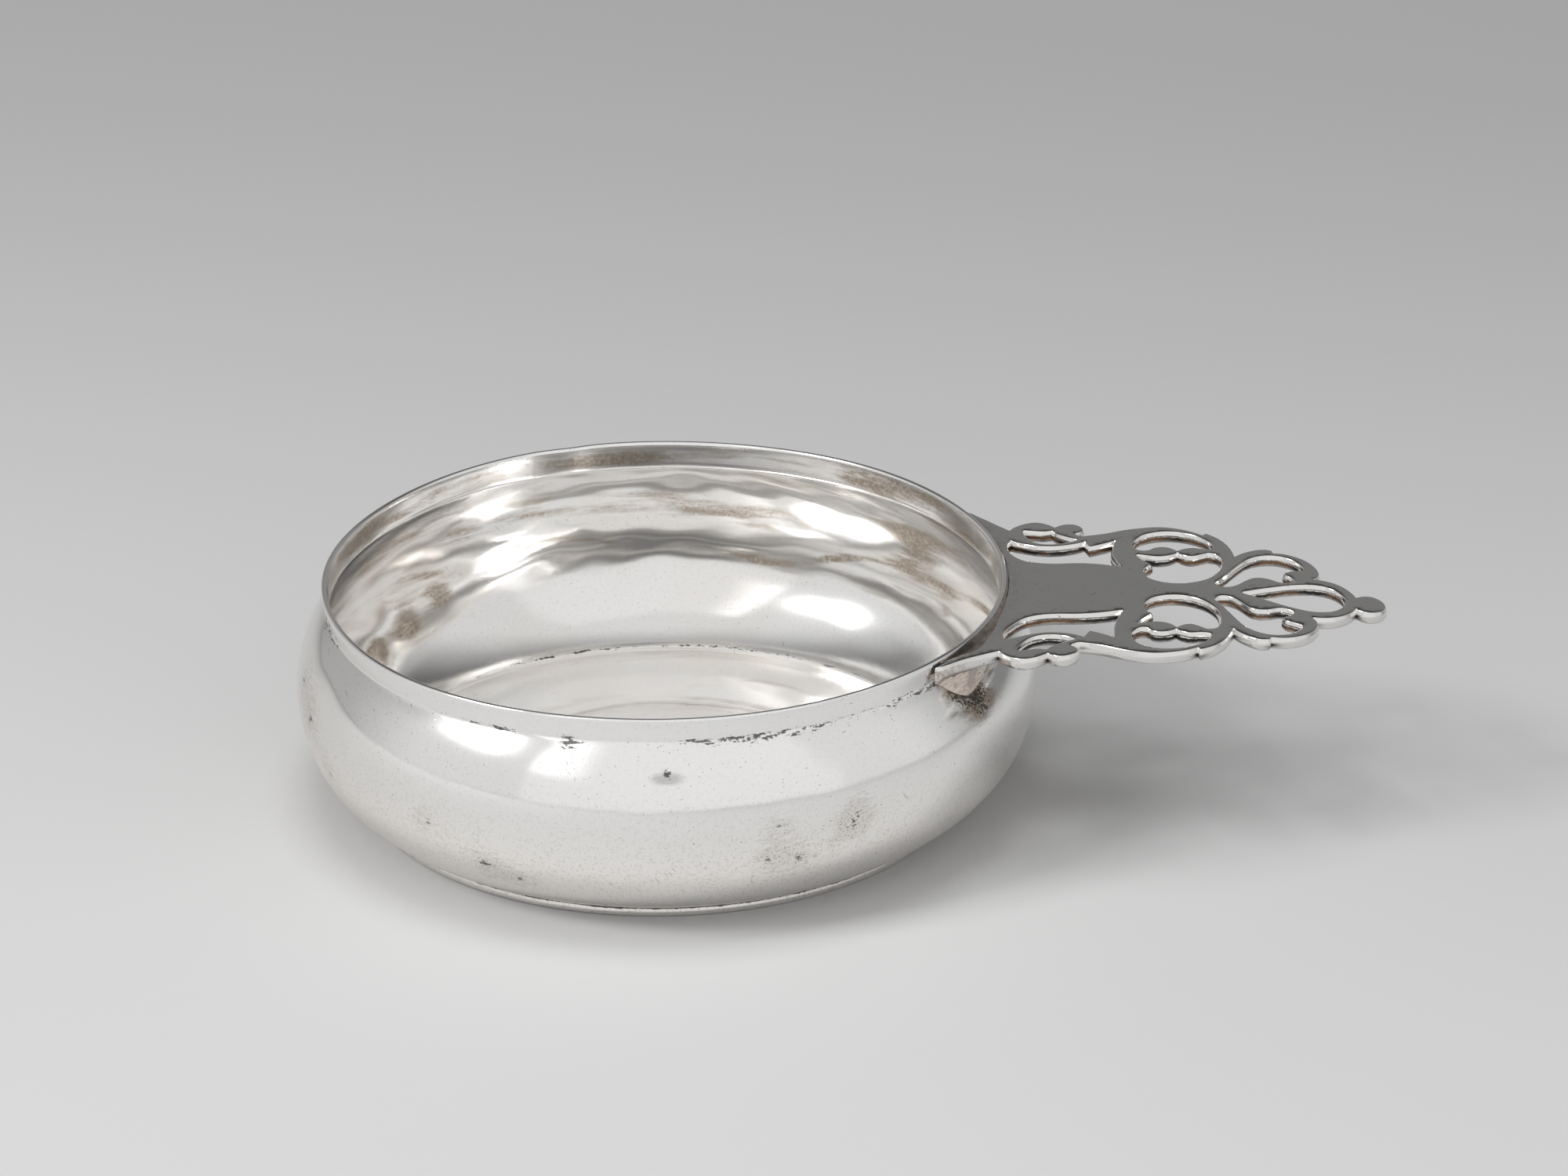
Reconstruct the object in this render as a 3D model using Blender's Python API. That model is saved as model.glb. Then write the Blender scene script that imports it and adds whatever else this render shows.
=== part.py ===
"""Silver porringer: a raised round bowl with one cast, pierced handle soldered against its rim band.

Metres, +Z up. The bowl stands on its flat base ring at z = 0 and the handle points along +X.
The origin lies under the middle of the whole object.
"""
import math

import bmesh
import bpy
import numpy as np
from mathutils import Vector
from mathutils.geometry import interpolate_bezier

MM = 0.001

# Bowl: one sheet, raised with the hammer
RIM_RADIUS = 66.0 * MM
BOWL_HEIGHT = 44.8 * MM
LIP_THICKNESS = 1.2 * MM
RIM_BAND_HEIGHT = 5.0 * MM
RIM_FLARE = 1.0 * MM
BELLY_OVERHANG = 5.6 * MM
BELLY_LEVEL = 24.0 * MM
BASE_INSET = 6.5 * MM
BASE_BEAD = 2.2 * MM
DOME_RADIUS = 35.0 * MM
DOME_RISE = 4.0 * MM
WALL = 0.7 * MM

# How full the belly's curve is, as shares of the span of each stretch
SHOULDER_FULLNESS = (0.48, 0.21)
BELLY_FULLNESS = 0.43
BASE_SWEEP = (0.66, 0.20)
BEAD_START = math.radians(50)

# Handle: cast plate, thickened where it meets the bowl
HANDLE_LENGTH = 72.2 * MM
HANDLE_HALF_WIDTH = 36.6 * MM
HANDLE_THICKNESS = 2.1 * MM
HANDLE_DROP = 0.9 * MM
ROOT_TAPER = 6.5 * MM

# Silver solder along the joint, above and below the handle's root
SEAM_WIDTH = 1.3 * MM
SEAM_HEIGHT = 0.45 * MM
SEAM_END_INSET = 4.0 * MM
FILLET_WIDTH = 2.6 * MM
FILLET_END_INSET = 6.5 * MM

CLEARANCE = 0.3 * MM

# Fineness of the facets: steps round the bowl, straight pieces to a curve, points on the drawing
TURN_STEPS = 72
LIP_PIECES = 4
SHOULDER_PIECES = 6
SWEEP_PIECES = 8
BEAD_PIECES = 4
DOME_PIECES = 4
FILLET_PIECES = 8
POINT_SPACING = 1.15 * MM
MERGE_DISTANCE = 0.01 * MM
CUTTER_MARGIN = 5.0 * MM

# Worked out from the sizes above
NECK_RADIUS = RIM_RADIUS - RIM_FLARE
NECK_LEVEL = BOWL_HEIGHT - RIM_BAND_HEIGHT
BELLY_RADIUS = RIM_RADIUS + BELLY_OVERHANG
BASE_RADIUS = RIM_RADIUS - BASE_INSET
HANDLE_TOP = BOWL_HEIGHT - HANDLE_DROP
HANDLE_UNDERSIDE = HANDLE_TOP - HANDLE_THICKNESS
HANDLE_REACH = RIM_RADIUS + HANDLE_LENGTH
SEAM_ANGLE = math.asin((HANDLE_HALF_WIDTH - SEAM_END_INSET) / RIM_RADIUS)
FILLET_ANGLE = math.asin((HANDLE_HALF_WIDTH - FILLET_END_INSET) / RIM_RADIUS)
BOWL_AXIS_X = (BELLY_RADIUS - HANDLE_REACH) / 2

# The handle's drawing, one half of it, as drawn in millimetres: along the handle from the rim's
# edge, then out from its middle line. Each run is a smooth curve that starts where the run before
# it ends, so a new run is a corner. The outline starts inside the bowl and ends at the tip.
OUTLINE_START = (-15.5, 36.0)
OUTLINE_RUNS = (
    # wing along the rim with its rounded end, then the two lobes of the root scroll
    ((-12.0, 36.6), (-9.6, 36.1), (-7.8, 34.4), (-4.2, 31.2), (-0.4, 28.2)),
    ((0.9, 30.2), (3.0, 31.7), (4.8, 32.0), (6.8, 31.1), (8.6, 29.4)),
    ((10.0, 30.6), (11.7, 30.9), (13.4, 29.9), (14.2, 28.0), (12.6, 25.9)),
    ((14.2, 24.9),),
    # large side scroll with a leaf that overlaps its end
    ((18.0, 25.9), (23.0, 28.1), (28.5, 29.4), (33.0, 28.5), (37.0, 26.1)),
    ((37.5, 27.0),),
    ((40.0, 24.9), (42.0, 21.6), (43.4, 16.6)),
    # second leaf and the scroll that curls in beside the hanging eye
    ((45.3, 18.9), (48.3, 20.8), (50.3, 20.6)),
    ((50.7, 19.5),),
    ((53.4, 19.3), (56.8, 17.3), (59.0, 13.9), (59.4, 11.0), (58.3, 8.8)),
    # loop round the hanging eye and the ball at its tip
    ((60.2, 8.7), (62.7, 7.8), (65.0, 5.6), (66.6, 2.6)),
    ((67.6, 3.4), (69.4, 3.8), (71.4, 2.4), (72.2, 0.0)),
)
EYE_START = (44.8, 0.0)
EYE_RUNS = (((49.0, 2.3), (54.0, 4.8), (58.7, 6.0), (62.0, 5.0), (64.0, 2.5), (64.6, 0.0)),)

# Piercings that have a mirrored twin on the other half: each run ends where the next begins
SIDE_PIERCINGS = {
    "root_slot": (
        ((19.2, 11.1), (16.7, 11.7), (13.3, 12.0), (9.2, 11.9), (6.1, 12.4), (3.4, 13.7), (1.5, 15.9),
         (0.2, 18.5), (-0.2, 20.9), (0.3, 23.4)),
        ((2.3, 22.0), (4.8, 20.7), (8.2, 20.0), (11.1, 20.3), (13.3, 21.1), (14.9, 22.2)),
        ((15.3, 20.8), (15.9, 19.5)),
        ((18.2, 20.7), (20.7, 22.5)),
        ((20.4, 19.2), (20.5, 16.0), (21.1, 13.1), (22.1, 10.1)),
    ),
    "root_crescent": (
        ((4.9, 27.6), (6.6, 27.3), (8.2, 27.7)),
        ((9.0, 26.4), (10.9, 24.8), (13.4, 23.2)),
        ((11.5, 21.9), (9.2, 21.3), (7.0, 21.4), (5.1, 22.4), (3.4, 24.9), (2.4, 28.1)),
    ),
    "scroll_upper_light": (
        ((38.6, 22.4), (36.5, 24.9), (34.2, 26.3), (31.8, 27.0), (29.3, 27.0), (27.0, 26.1), (25.3, 24.7),
         (24.0, 21.3), (24.4, 19.3), (25.6, 18.0), (27.0, 18.1)),
        ((27.9, 19.2), (29.3, 19.8), (30.7, 19.6), (32.5, 18.1)),
        ((33.9, 19.3), (35.5, 19.8), (37.2, 19.4), (39.2, 19.6)),
    ),
    "scroll_lower_light": (
        ((26.9, 10.4), (26.4, 9.0), (26.4, 6.9), (27.2, 5.1), (28.9, 3.7), (31.3, 2.9), (34.0, 3.0),
         (36.6, 4.1), (38.8, 6.1), (40.4, 9.2), (40.9, 12.2), (40.8, 15.0), (39.9, 17.0), (38.4, 17.5)),
        ((37.0, 16.5), (35.4, 15.6), (33.9, 16.0), (32.6, 17.3)),
        ((31.3, 15.8), (29.8, 15.1), (28.3, 15.0), (26.6, 15.5), (24.9, 15.9)),
        ((26.1, 13.5), (27.7, 11.3)),
    ),
    "tip_scroll_light": (
        ((41.6, 7.2), (43.6, 11.5), (45.7, 15.3), (47.8, 17.2), (50.3, 18.1), (52.9, 17.7), (54.9, 16.4),
         (56.1, 14.5), (56.5, 12.7)),
        ((54.7, 11.9), (53.4, 11.3), (52.8, 10.4), (53.2, 9.5), (54.1, 8.8), (54.9, 6.9)),
        ((53.6, 6.1), (52.1, 6.0), (50.3, 7.0), (48.6, 7.5), (46.8, 7.0), (45.3, 5.3), (43.9, 3.4),
         (42.2, 2.2), (40.7, 2.3), (39.7, 3.8)),
    ),
}

# The casting is out of square: beyond the middle strip one half lies ahead of the drawing and the
# other half behind it. The shares of that shift are given along the handle's length from the rim.
HANDLE_SKEW = 1.1 * MM
SKEW_STRIP = 16.0 * MM
SKEW_PLACES = (-0.08, 0.01, 0.29, 0.40, 0.69, 1.0)
SKEW_SHARES = (0.0, 1.0, 1.0, 0.65, 0.25, 0.0)


def clear_scene():
    """Remove whatever the file holds, so that only the porringer is left."""
    for thing in list(bpy.data.objects):
        bpy.data.objects.remove(thing, do_unlink=True)


def silver(name, colour, roughness):
    """A polished or dulled silver finish."""
    material = bpy.data.materials.new(name)
    material.use_nodes = True
    shader = material.node_tree.nodes["Principled BSDF"]
    shader.inputs["Base Color"].default_value = (*colour, 1.0)
    shader.inputs["Metallic"].default_value = 1.0
    shader.inputs["Roughness"].default_value = roughness
    return material


def add_object(name, mesh, material=None):
    """Link a mesh to the scene on the bowl's axis; one without a material is a cutter."""
    thing = bpy.data.objects.new(name, mesh)
    thing.location.x = BOWL_AXIS_X
    bpy.context.scene.collection.objects.link(thing)
    if material:
        mesh.materials.append(material)
    else:
        thing.hide_render = True
        thing.display_type = "WIRE"
    return thing


def turned(name, profile, material=None):
    """Turn a profile of (radius, height) about the bowl's axis, its outer side running downwards."""
    mesh = bpy.data.meshes.new(name)
    links = [(i, i + 1) for i in range(len(profile) - 1)]
    mesh.from_pydata([(radius, 0.0, height) for radius, height in profile], links, [])
    thing = add_object(name, mesh, material)
    screw = thing.modifiers.new("turn", "SCREW")
    screw.axis = "Z"
    screw.steps = TURN_STEPS
    screw.render_steps = TURN_STEPS
    screw.use_merge_vertices = True
    screw.merge_threshold = MERGE_DISTANCE
    screw.use_smooth_shade = True
    return thing


def curve(start, start_pull, end_pull, end, pieces):
    """Points of a cubic curve between two (radius, height) points, pulled towards two others."""
    flat = [Vector((radius, height, 0.0)) for radius, height in (start, start_pull, end_pull, end)]
    points = interpolate_bezier(flat[0], flat[1], flat[2], flat[3], pieces + 1)
    return np.array(points)[:, :2]


def arc(centre, radius, start, end, pieces):
    """Points of a circular arc about a centre, from one angle to another."""
    angle = np.linspace(start, end, pieces + 1)
    return np.column_stack((centre[0] + radius * np.cos(angle), centre[1] + radius * np.sin(angle)))


def offset_outwards(profile, distance):
    """Shift each point square to a profile that runs downwards; positive is away from the bowl."""
    along = np.gradient(profile, axis=0)
    along /= np.linalg.norm(along, axis=1, keepdims=True)
    return profile + distance * np.column_stack((-along[:, 1], along[:, 0]))


def bead_arc():
    """Rounded bead round the base, from the crease above it down to the standing ring."""
    centre = (BASE_RADIUS - BASE_BEAD / 2, BASE_BEAD / 2)
    return arc(centre, BASE_BEAD / 2, BEAD_START, -math.pi / 2, BEAD_PIECES)


def belly_profile():
    """Outer side of the belly, from the neck's crease to the crease above the base bead."""
    crease = bead_arc()[0]
    upper = (BELLY_RADIUS - NECK_RADIUS, NECK_LEVEL - BELLY_LEVEL)
    lower = (BELLY_RADIUS - crease[0], BELLY_LEVEL - crease[1])
    shoulder = curve(
        (NECK_RADIUS, NECK_LEVEL),
        (NECK_RADIUS + SHOULDER_FULLNESS[0] * upper[0], NECK_LEVEL - SHOULDER_FULLNESS[1] * upper[1]),
        (BELLY_RADIUS, BELLY_LEVEL + BELLY_FULLNESS * upper[1]),
        (BELLY_RADIUS, BELLY_LEVEL), SHOULDER_PIECES)
    sweep = curve(
        (BELLY_RADIUS, BELLY_LEVEL),
        (BELLY_RADIUS, BELLY_LEVEL - BELLY_FULLNESS * lower[1]),
        (crease[0] + BASE_SWEEP[0] * lower[0], crease[1] + BASE_SWEEP[1] * lower[1]),
        tuple(crease), SWEEP_PIECES)
    return np.vstack((shoulder, sweep[1:]))


def lip_arc():
    """Rounded edge of the rim, from its inner side over the top to its outer side."""
    centre = (RIM_RADIUS - LIP_THICKNESS / 2, BOWL_HEIGHT - LIP_THICKNESS / 2)
    return arc(centre, LIP_THICKNESS / 2, math.pi, 0.0, LIP_PIECES)


def outer_profile():
    """Outside of the bowl from the rim's edge to the crease above the base, running downwards."""
    return np.vstack((lip_arc()[-1:], belly_profile()))


def dome_profile(floor_level):
    """Pushed-up middle of the bottom, from its foot to the axis."""
    radius = np.linspace(DOME_RADIUS, 0.0, DOME_PIECES + 1)
    return np.column_stack((radius, floor_level + DOME_RISE * (1 - (radius / DOME_RADIUS) ** 2)))


def build_bowl():
    """The bowl: floor, inner wall, rim, outer wall, base bead, standing ring and domed underside."""
    inner_wall = offset_outwards(belly_profile(), -WALL)[::-1]
    floor_corner = [(BASE_RADIUS - BASE_BEAD, WALL)]
    profile = np.vstack((dome_profile(WALL)[::-1], floor_corner, inner_wall, lip_arc(),
                         belly_profile(), bead_arc()[1:], dome_profile(0.0)))
    return turned("bowl", profile, silver("bowl_silver", (0.80, 0.78, 0.74), 0.16))


def smooth_run(knots):
    """Points on a smooth curve through the knots, without the first one, evenly spread."""
    knots = np.array(knots)
    chords = np.linalg.norm(np.diff(knots, axis=0), axis=1)
    stations = np.concatenate(([0.0], np.cumsum(np.sqrt(chords))))
    slopes = np.gradient(knots, stations, axis=0, edge_order=min(2, len(knots) - 1))
    points = []
    for i, chord in enumerate(chords):
        span = stations[i + 1] - stations[i]
        pieces = max(1, round(chord / POINT_SPACING))
        t = np.linspace(0.0, 1.0, pieces + 1)[1:, None]
        points.append(knots[i] * (1 + 2 * t) * (1 - t) ** 2 + knots[i + 1] * t * t * (3 - 2 * t)
                      + span * (slopes[i] * t * (1 - t) ** 2 - slopes[i + 1] * t * t * (1 - t)))
    return np.vstack(points)


def to_size(drawn):
    """Stretch drawn points to the handle's length and width, in metres from the bowl's axis."""
    outline = np.vstack([np.array(run) for run in OUTLINE_RUNS])
    scale = np.array((HANDLE_LENGTH, HANDLE_HALF_WIDTH)) / outline.max(axis=0)
    return np.array(drawn) * scale + (RIM_RADIUS, 0.0)


def drawn_line(start, runs):
    """Points along the runs in turn, from the start to the last run's end."""
    points = to_size([start])
    for run in runs:
        points = np.vstack((points, smooth_run(np.vstack((points[-1:], to_size(run))))))
    return points


def mirrored(half):
    """A half that ends on the middle line, followed by its mirror image on the way back."""
    return np.vstack((half, half[-2::-1] * (1, -1)))


def askew(loop):
    """Shift the halves of a loop along the handle, opposite ways, by the skew of the casting."""
    share = np.interp((loop[:, 0] - RIM_RADIUS) / HANDLE_LENGTH, SKEW_PLACES, SKEW_SHARES)
    side = np.clip(loop[:, 1] / SKEW_STRIP, -1.0, 1.0)
    return loop - np.column_stack((HANDLE_SKEW * share * side, np.zeros(len(loop))))


def handle_loops():
    """All closed loops of the handle's drawing: the eye, which is true, the outline and the piercings."""
    yield mirrored(drawn_line(EYE_START, EYE_RUNS))[:-1]
    yield askew(mirrored(drawn_line(OUTLINE_START, OUTLINE_RUNS)))
    for runs in SIDE_PIERCINGS.values():
        light = drawn_line(runs[-1][-1], runs)[:-1]
        yield askew(light)
        yield askew(light * (1, -1))


def handle_blank():
    """The drawing filled and extruded down as far as the root reaches."""
    work = bmesh.new()
    for loop in handle_loops():
        corners = [work.verts.new((x, y, HANDLE_TOP)) for x, y in loop]
        for first, second in zip(corners, corners[1:] + corners[:1]):
            work.edges.new((first, second))
    bmesh.ops.triangle_fill(work, use_beauty=True, edges=work.edges[:], normal=(0, 0, 1))
    block = bmesh.ops.extrude_face_region(work, geom=work.faces[:])
    lower = [part for part in block["geom"] if isinstance(part, bmesh.types.BMVert)]
    bmesh.ops.translate(work, verts=lower, vec=(0, 0, NECK_LEVEL - CUTTER_MARGIN - HANDLE_TOP))
    bmesh.ops.recalc_face_normals(work, faces=work.faces[:])
    mesh = bpy.data.meshes.new("handle")
    work.to_mesh(mesh)
    work.free()
    return mesh


def root_toe():
    """Where the handle's root meets the bowl at the neck's crease."""
    return np.array((NECK_RADIUS + CLEARANCE, NECK_LEVEL))


def root_heel():
    """Where the root's taper runs out into the flat underside of the plate."""
    return np.array((NECK_RADIUS + CLEARANCE + ROOT_TAPER, HANDLE_UNDERSIDE))


def build_handle():
    """The pierced plate, trimmed to the bowl's side and to the root's tapered underside."""
    handle = add_object("handle", handle_blank(), silver("handle_silver", (0.66, 0.65, 0.63), 0.20))
    rim_side = offset_outwards(outer_profile(), CLEARANCE)[0]
    above = BOWL_HEIGHT + CUTTER_MARGIN
    below = NECK_LEVEL - 2 * CUTTER_MARGIN
    beyond = HANDLE_REACH + CUTTER_MARGIN
    profile = [(0.0, above), (rim_side[0], above), rim_side, root_toe(), root_heel(),
               (beyond, HANDLE_UNDERSIDE), (beyond, below), (0.0, below)]
    trim = handle.modifiers.new("trim", "BOOLEAN")
    trim.object = turned("handle_trim", profile)
    trim.operation = "DIFFERENCE"
    return handle


def swept(name, section, half_angle, material):
    """Carry a closed (radius, height) section round part of the bowl, with closed ends."""
    work = bmesh.new()
    along, across = math.cos(half_angle), -math.sin(half_angle)
    face = work.faces.new([work.verts.new((r * along, r * across, z)) for r, z in section])
    steps = round(TURN_STEPS * half_angle / math.pi)
    bmesh.ops.spin(work, geom=[face], cent=(0, 0, 0), axis=(0, 0, 1), angle=2 * half_angle, steps=steps)
    bmesh.ops.recalc_face_normals(work, faces=work.faces[:])
    mesh = bpy.data.meshes.new(name)
    work.to_mesh(mesh)
    work.free()
    return add_object(name, mesh, material)


def build_rim_seam(material):
    """Thin seam of solder in the corner between the handle's top and the rim's side."""
    rim = outer_profile()[:2]
    foot = HANDLE_TOP + CLEARANCE
    levels = np.array((foot, foot + SEAM_HEIGHT))
    side = np.interp(levels, rim[::-1, 1], rim[::-1, 0]) + CLEARANCE
    hollow = (side[0] + SEAM_WIDTH / 3, foot + SEAM_HEIGHT / 3)
    section = [(side[0], levels[0]), (side[0] + SEAM_WIDTH, levels[0]), hollow, (side[1], levels[1])]
    return swept("rim_solder_seam", section, SEAM_ANGLE, material)


def build_root_fillet(material):
    """Fillet of solder in the wedge between the bowl's shoulder and the root's tapered underside."""
    belly = offset_outwards(belly_profile(), CLEARANCE)
    shoulder = belly[:np.argmax(belly[:, 0])]
    radii = np.linspace(root_toe()[0], root_toe()[0] + FILLET_WIDTH + CLEARANCE,
                        FILLET_PIECES + 1)
    floor = np.interp(radii, shoulder[:, 0], shoulder[:, 1])
    taper = root_heel() - root_toe()
    roof = root_toe()[1] + (radii - root_toe()[0]) * taper[1] / taper[0] - CLEARANCE
    wedge = roof - floor > CLEARANCE
    lower = np.column_stack((radii, floor))[wedge]
    upper = np.column_stack((radii, roof))[wedge]
    hollow = (lower[-1] + upper[-1]) / 2 - (FILLET_WIDTH / 4, 0.0)
    section = np.vstack((lower, hollow, upper[::-1]))
    return swept("root_solder_fillet", section, FILLET_ANGLE, material)


clear_scene()
build_bowl()
build_handle()
solder = silver("silver_solder", (0.46, 0.41, 0.35), 0.42)
build_rim_seam(solder)
build_root_fillet(solder)
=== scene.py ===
"""Looks of a silver porringer: a raised bowl and a cast, pierced handle, soldered together.

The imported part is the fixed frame; every piece here stands where its node stands.
"""
import math

import bpy
import numpy as np
from mathutils import Matrix, Vector
from mathutils.geometry import delaunay_2d_cdt


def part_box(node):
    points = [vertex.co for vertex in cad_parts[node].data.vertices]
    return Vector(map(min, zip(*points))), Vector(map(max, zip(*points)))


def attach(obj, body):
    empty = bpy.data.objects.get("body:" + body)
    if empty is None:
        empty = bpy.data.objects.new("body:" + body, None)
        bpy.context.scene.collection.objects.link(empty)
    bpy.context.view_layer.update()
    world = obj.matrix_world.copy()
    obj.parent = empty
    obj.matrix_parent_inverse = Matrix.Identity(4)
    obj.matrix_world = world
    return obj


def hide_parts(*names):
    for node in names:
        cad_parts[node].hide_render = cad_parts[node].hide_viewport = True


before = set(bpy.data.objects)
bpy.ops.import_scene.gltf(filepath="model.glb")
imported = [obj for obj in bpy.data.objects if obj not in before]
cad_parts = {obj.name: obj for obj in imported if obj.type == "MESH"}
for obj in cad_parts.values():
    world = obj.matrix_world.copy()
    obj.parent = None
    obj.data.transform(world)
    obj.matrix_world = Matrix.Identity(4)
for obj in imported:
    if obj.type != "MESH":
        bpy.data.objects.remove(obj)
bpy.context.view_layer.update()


# Bowl
# One disc of sheet silver, raised with the hammer into a deep bellied wall under an upright rim band,
# with a bead turned round the base and the middle of the bottom pushed up. Worn, scratched and
# tarnished; the hammer's courses still show inside.

# Sizes in millimetres and degrees; a pull is a share of the way to the belly's widest point
MM = 0.001
BELLY_SWELL = 5.6
NECK_INSET = 1.0
RIM_BAND = 5.0
BASE_INSET = 7.5
BELLY_LEVEL = 24.0
SHOULDER_PULL = (0.48, 0.21)
BELLY_PULL = 0.43
BASE_PULL = (0.66, 0.20)
BEAD = 1.1
BEAD_TOP, BEAD_FOOT = 50, -90
LIP = 0.6
WALL = 0.7
FLOOR_CORNER = 1.2
DOME_RADIUS = 35.0
DOME_RISE = 4.0
PROFILE_POINTS = 240
TURN_POINTS = 400
bowl_low, bowl_high = (np.array(corner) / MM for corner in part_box("bowl"))
AXIS_X = (bowl_low[0] + bowl_high[0]) / 2
BELLY_RADIUS = (bowl_high[1] - bowl_low[1]) / 2
RIM_LEVEL = bowl_high[2]
RIM_RADIUS = BELLY_RADIUS - BELLY_SWELL
NECK = np.array((RIM_RADIUS - NECK_INSET, RIM_LEVEL - RIM_BAND))
BASE_RADIUS = RIM_RADIUS - BASE_INSET


def bezier(start, start_pull, end_pull, end, count=160):
    """Cubic curve: the four points weighted by (1-t)^3, 3t(1-t)^2, 3t^2(1-t) and t^3."""
    t = np.linspace(0.0, 1.0, count)[:, None]
    weights = (1 - t) ** 3, 3 * t * (1 - t) ** 2, 3 * t * t * (1 - t), t ** 3
    points = start, start_pull, end_pull, end
    return sum(weight * np.array(point) for weight, point in zip(weights, points))


def round_arc(centre, radius, start, end, count=40):
    """Circular arc: centre plus radius times cosine and sine of an angle that runs evenly."""
    angle = np.radians(np.linspace(start, end, count))
    return np.array(centre) + radius * np.column_stack((np.cos(angle), np.sin(angle)))


def left_of(line):
    """Unit directions square to a line and on its left, from the line's own slope."""
    slope = np.gradient(line, axis=0)
    slope /= np.linalg.norm(slope, axis=1, keepdims=True)
    return np.column_stack((-slope[:, 1], slope[:, 0]))


def spread(line, count, fine=0.08, soft=0.3, crowding=5.0):
    """A line resampled: averaged under a bell curve, then in steps that shorten where it turns."""
    along = np.concatenate(([0.0], np.cumsum(np.linalg.norm(np.diff(line, axis=0), axis=1))))
    even = np.linspace(0.0, along[-1], round(along[-1] / fine))
    line = np.column_stack([np.interp(even, along, part) for part in line.T])
    reach = round(3 * soft / fine)
    bell = np.exp(-(np.arange(-reach, reach + 1) * fine / soft) ** 2 / 2)
    line = np.pad(line, ((reach, reach), (0, 0)), mode="reflect", reflect_type="odd")
    line = np.column_stack([np.convolve(part, bell / bell.sum(), "valid") for part in line.T])
    slope = np.gradient(line, axis=0)
    turning = np.abs(np.gradient(np.unwrap(np.arctan2(slope[:, 1], slope[:, 0])))) / fine
    effort = np.cumsum(1 + crowding * turning)
    station = np.interp(np.linspace(effort[0], effort[-1], count), effort, np.arange(len(line)))
    return np.column_stack([np.interp(station, np.arange(len(line)), part) for part in line.T])


def bowl_profile():
    """Radius and height from the floor's middle, up inside, over the rim and down to the middle below.

    The wall is two cubic curves that meet upright at the belly, its inside is the same line set in by the
    wall's thickness, the lip and the bead are arcs, and the floor is a parabola.
    """
    bead = round_arc((BASE_RADIUS - BEAD, BEAD), BEAD, BEAD_TOP, BEAD_FOOT)
    crease = bead[0]
    widest = np.array((BELLY_RADIUS, BELLY_LEVEL))
    upper, lower = widest - NECK, widest - crease
    shoulder = bezier(NECK, NECK + upper * SHOULDER_PULL,
                      (BELLY_RADIUS, BELLY_LEVEL - BELLY_PULL * upper[1]), widest)
    sweep = bezier(widest, (BELLY_RADIUS, BELLY_LEVEL - BELLY_PULL * lower[1]),
                   crease + lower * BASE_PULL, crease)
    belly = np.vstack((shoulder, sweep[1:]))
    inner = (belly - WALL * left_of(belly))[::-1]
    radius = np.linspace(0.0, DOME_RADIUS, 80)
    dome = np.column_stack((radius, DOME_RISE * (1 - (radius / DOME_RADIUS) ** 2)))
    lip = round_arc((RIM_RADIUS - LIP, RIM_LEVEL - LIP), LIP, 180, 0)
    corner = (BASE_RADIUS - 2 * BEAD, WALL + FLOOR_CORNER)
    return np.vstack((dome + (0.0, WALL), [corner], inner, lip, belly, bead[1:], dome[::-1]))


def step_up(value, low, high):
    """Smooth step: 0 below low, 1 above high, and 3t^2 - 2t^3 between them."""
    t = np.clip((value - low) / (high - low), 0.0, 1.0)
    return t * t * (3 - 2 * t)


def bump(value, middle, width):
    """Bell curve of height 1 about a middle."""
    return np.exp(-((value - middle) / width) ** 2)


def courses(turn, along, draws, count, turns, lengths):
    """Sum of cosine waves that close round the bowl, each of its own count and length, RMS 1."""
    round_counts = draws.integers(*turns, count)[:, None, None]
    pitch = (2 * math.pi / draws.uniform(*lengths, count) * draws.choice((-1, 1), count))[:, None, None]
    start = draws.uniform(0, 2 * math.pi, count)[:, None, None]
    return np.cos(round_counts * turn + pitch * along + start).sum(axis=0) * math.sqrt(2 / count)


def angle_from(turn, degrees):
    """Angle round the bowl from a given direction, between minus and plus half a turn, in radians."""
    return (turn - math.radians(degrees) + math.pi) % (2 * math.pi) - math.pi


profile = spread(bowl_profile(), PROFILE_POINTS)
profile[[0, -1], 0] = 0.0
facing = left_of(profile)
run = np.concatenate(([0.0], np.cumsum(np.linalg.norm(np.diff(profile, axis=0), axis=1))))
lip_row = int(np.argmax(profile[:, 1]))
inner_side = (np.arange(PROFILE_POINTS) < lip_row).astype(float)
radius, level = profile[:, :1], profile[:, 1:]
inside, outside = inner_side[:, None], 1 - inner_side[:, None]
run = run[:, None]
turn = np.linspace(-math.pi, math.pi, TURN_POINTS, endpoint=False)[None, :]
from_handle = angle_from(turn, 0.0)


def row_at(height, on_inside):
    """Length along the profile where one side of the wall reaches a height."""
    rows = np.flatnonzero((inner_side == on_inside) & (profile[:, 0] > BASE_RADIUS - 2.5))
    return run[rows[np.argmin(np.abs(profile[rows, 1] - height))], 0]


def spot(degrees, height, on_inside, width):
    """Bell-shaped spot on the wall, by distance along the profile and round the bowl."""
    away_round = angle_from(turn, degrees) * radius / width
    away_along = (run - row_at(height, on_inside)) / width
    side = inside if on_inside else outside
    return side * np.exp(-away_round ** 2 - away_along ** 2)


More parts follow.
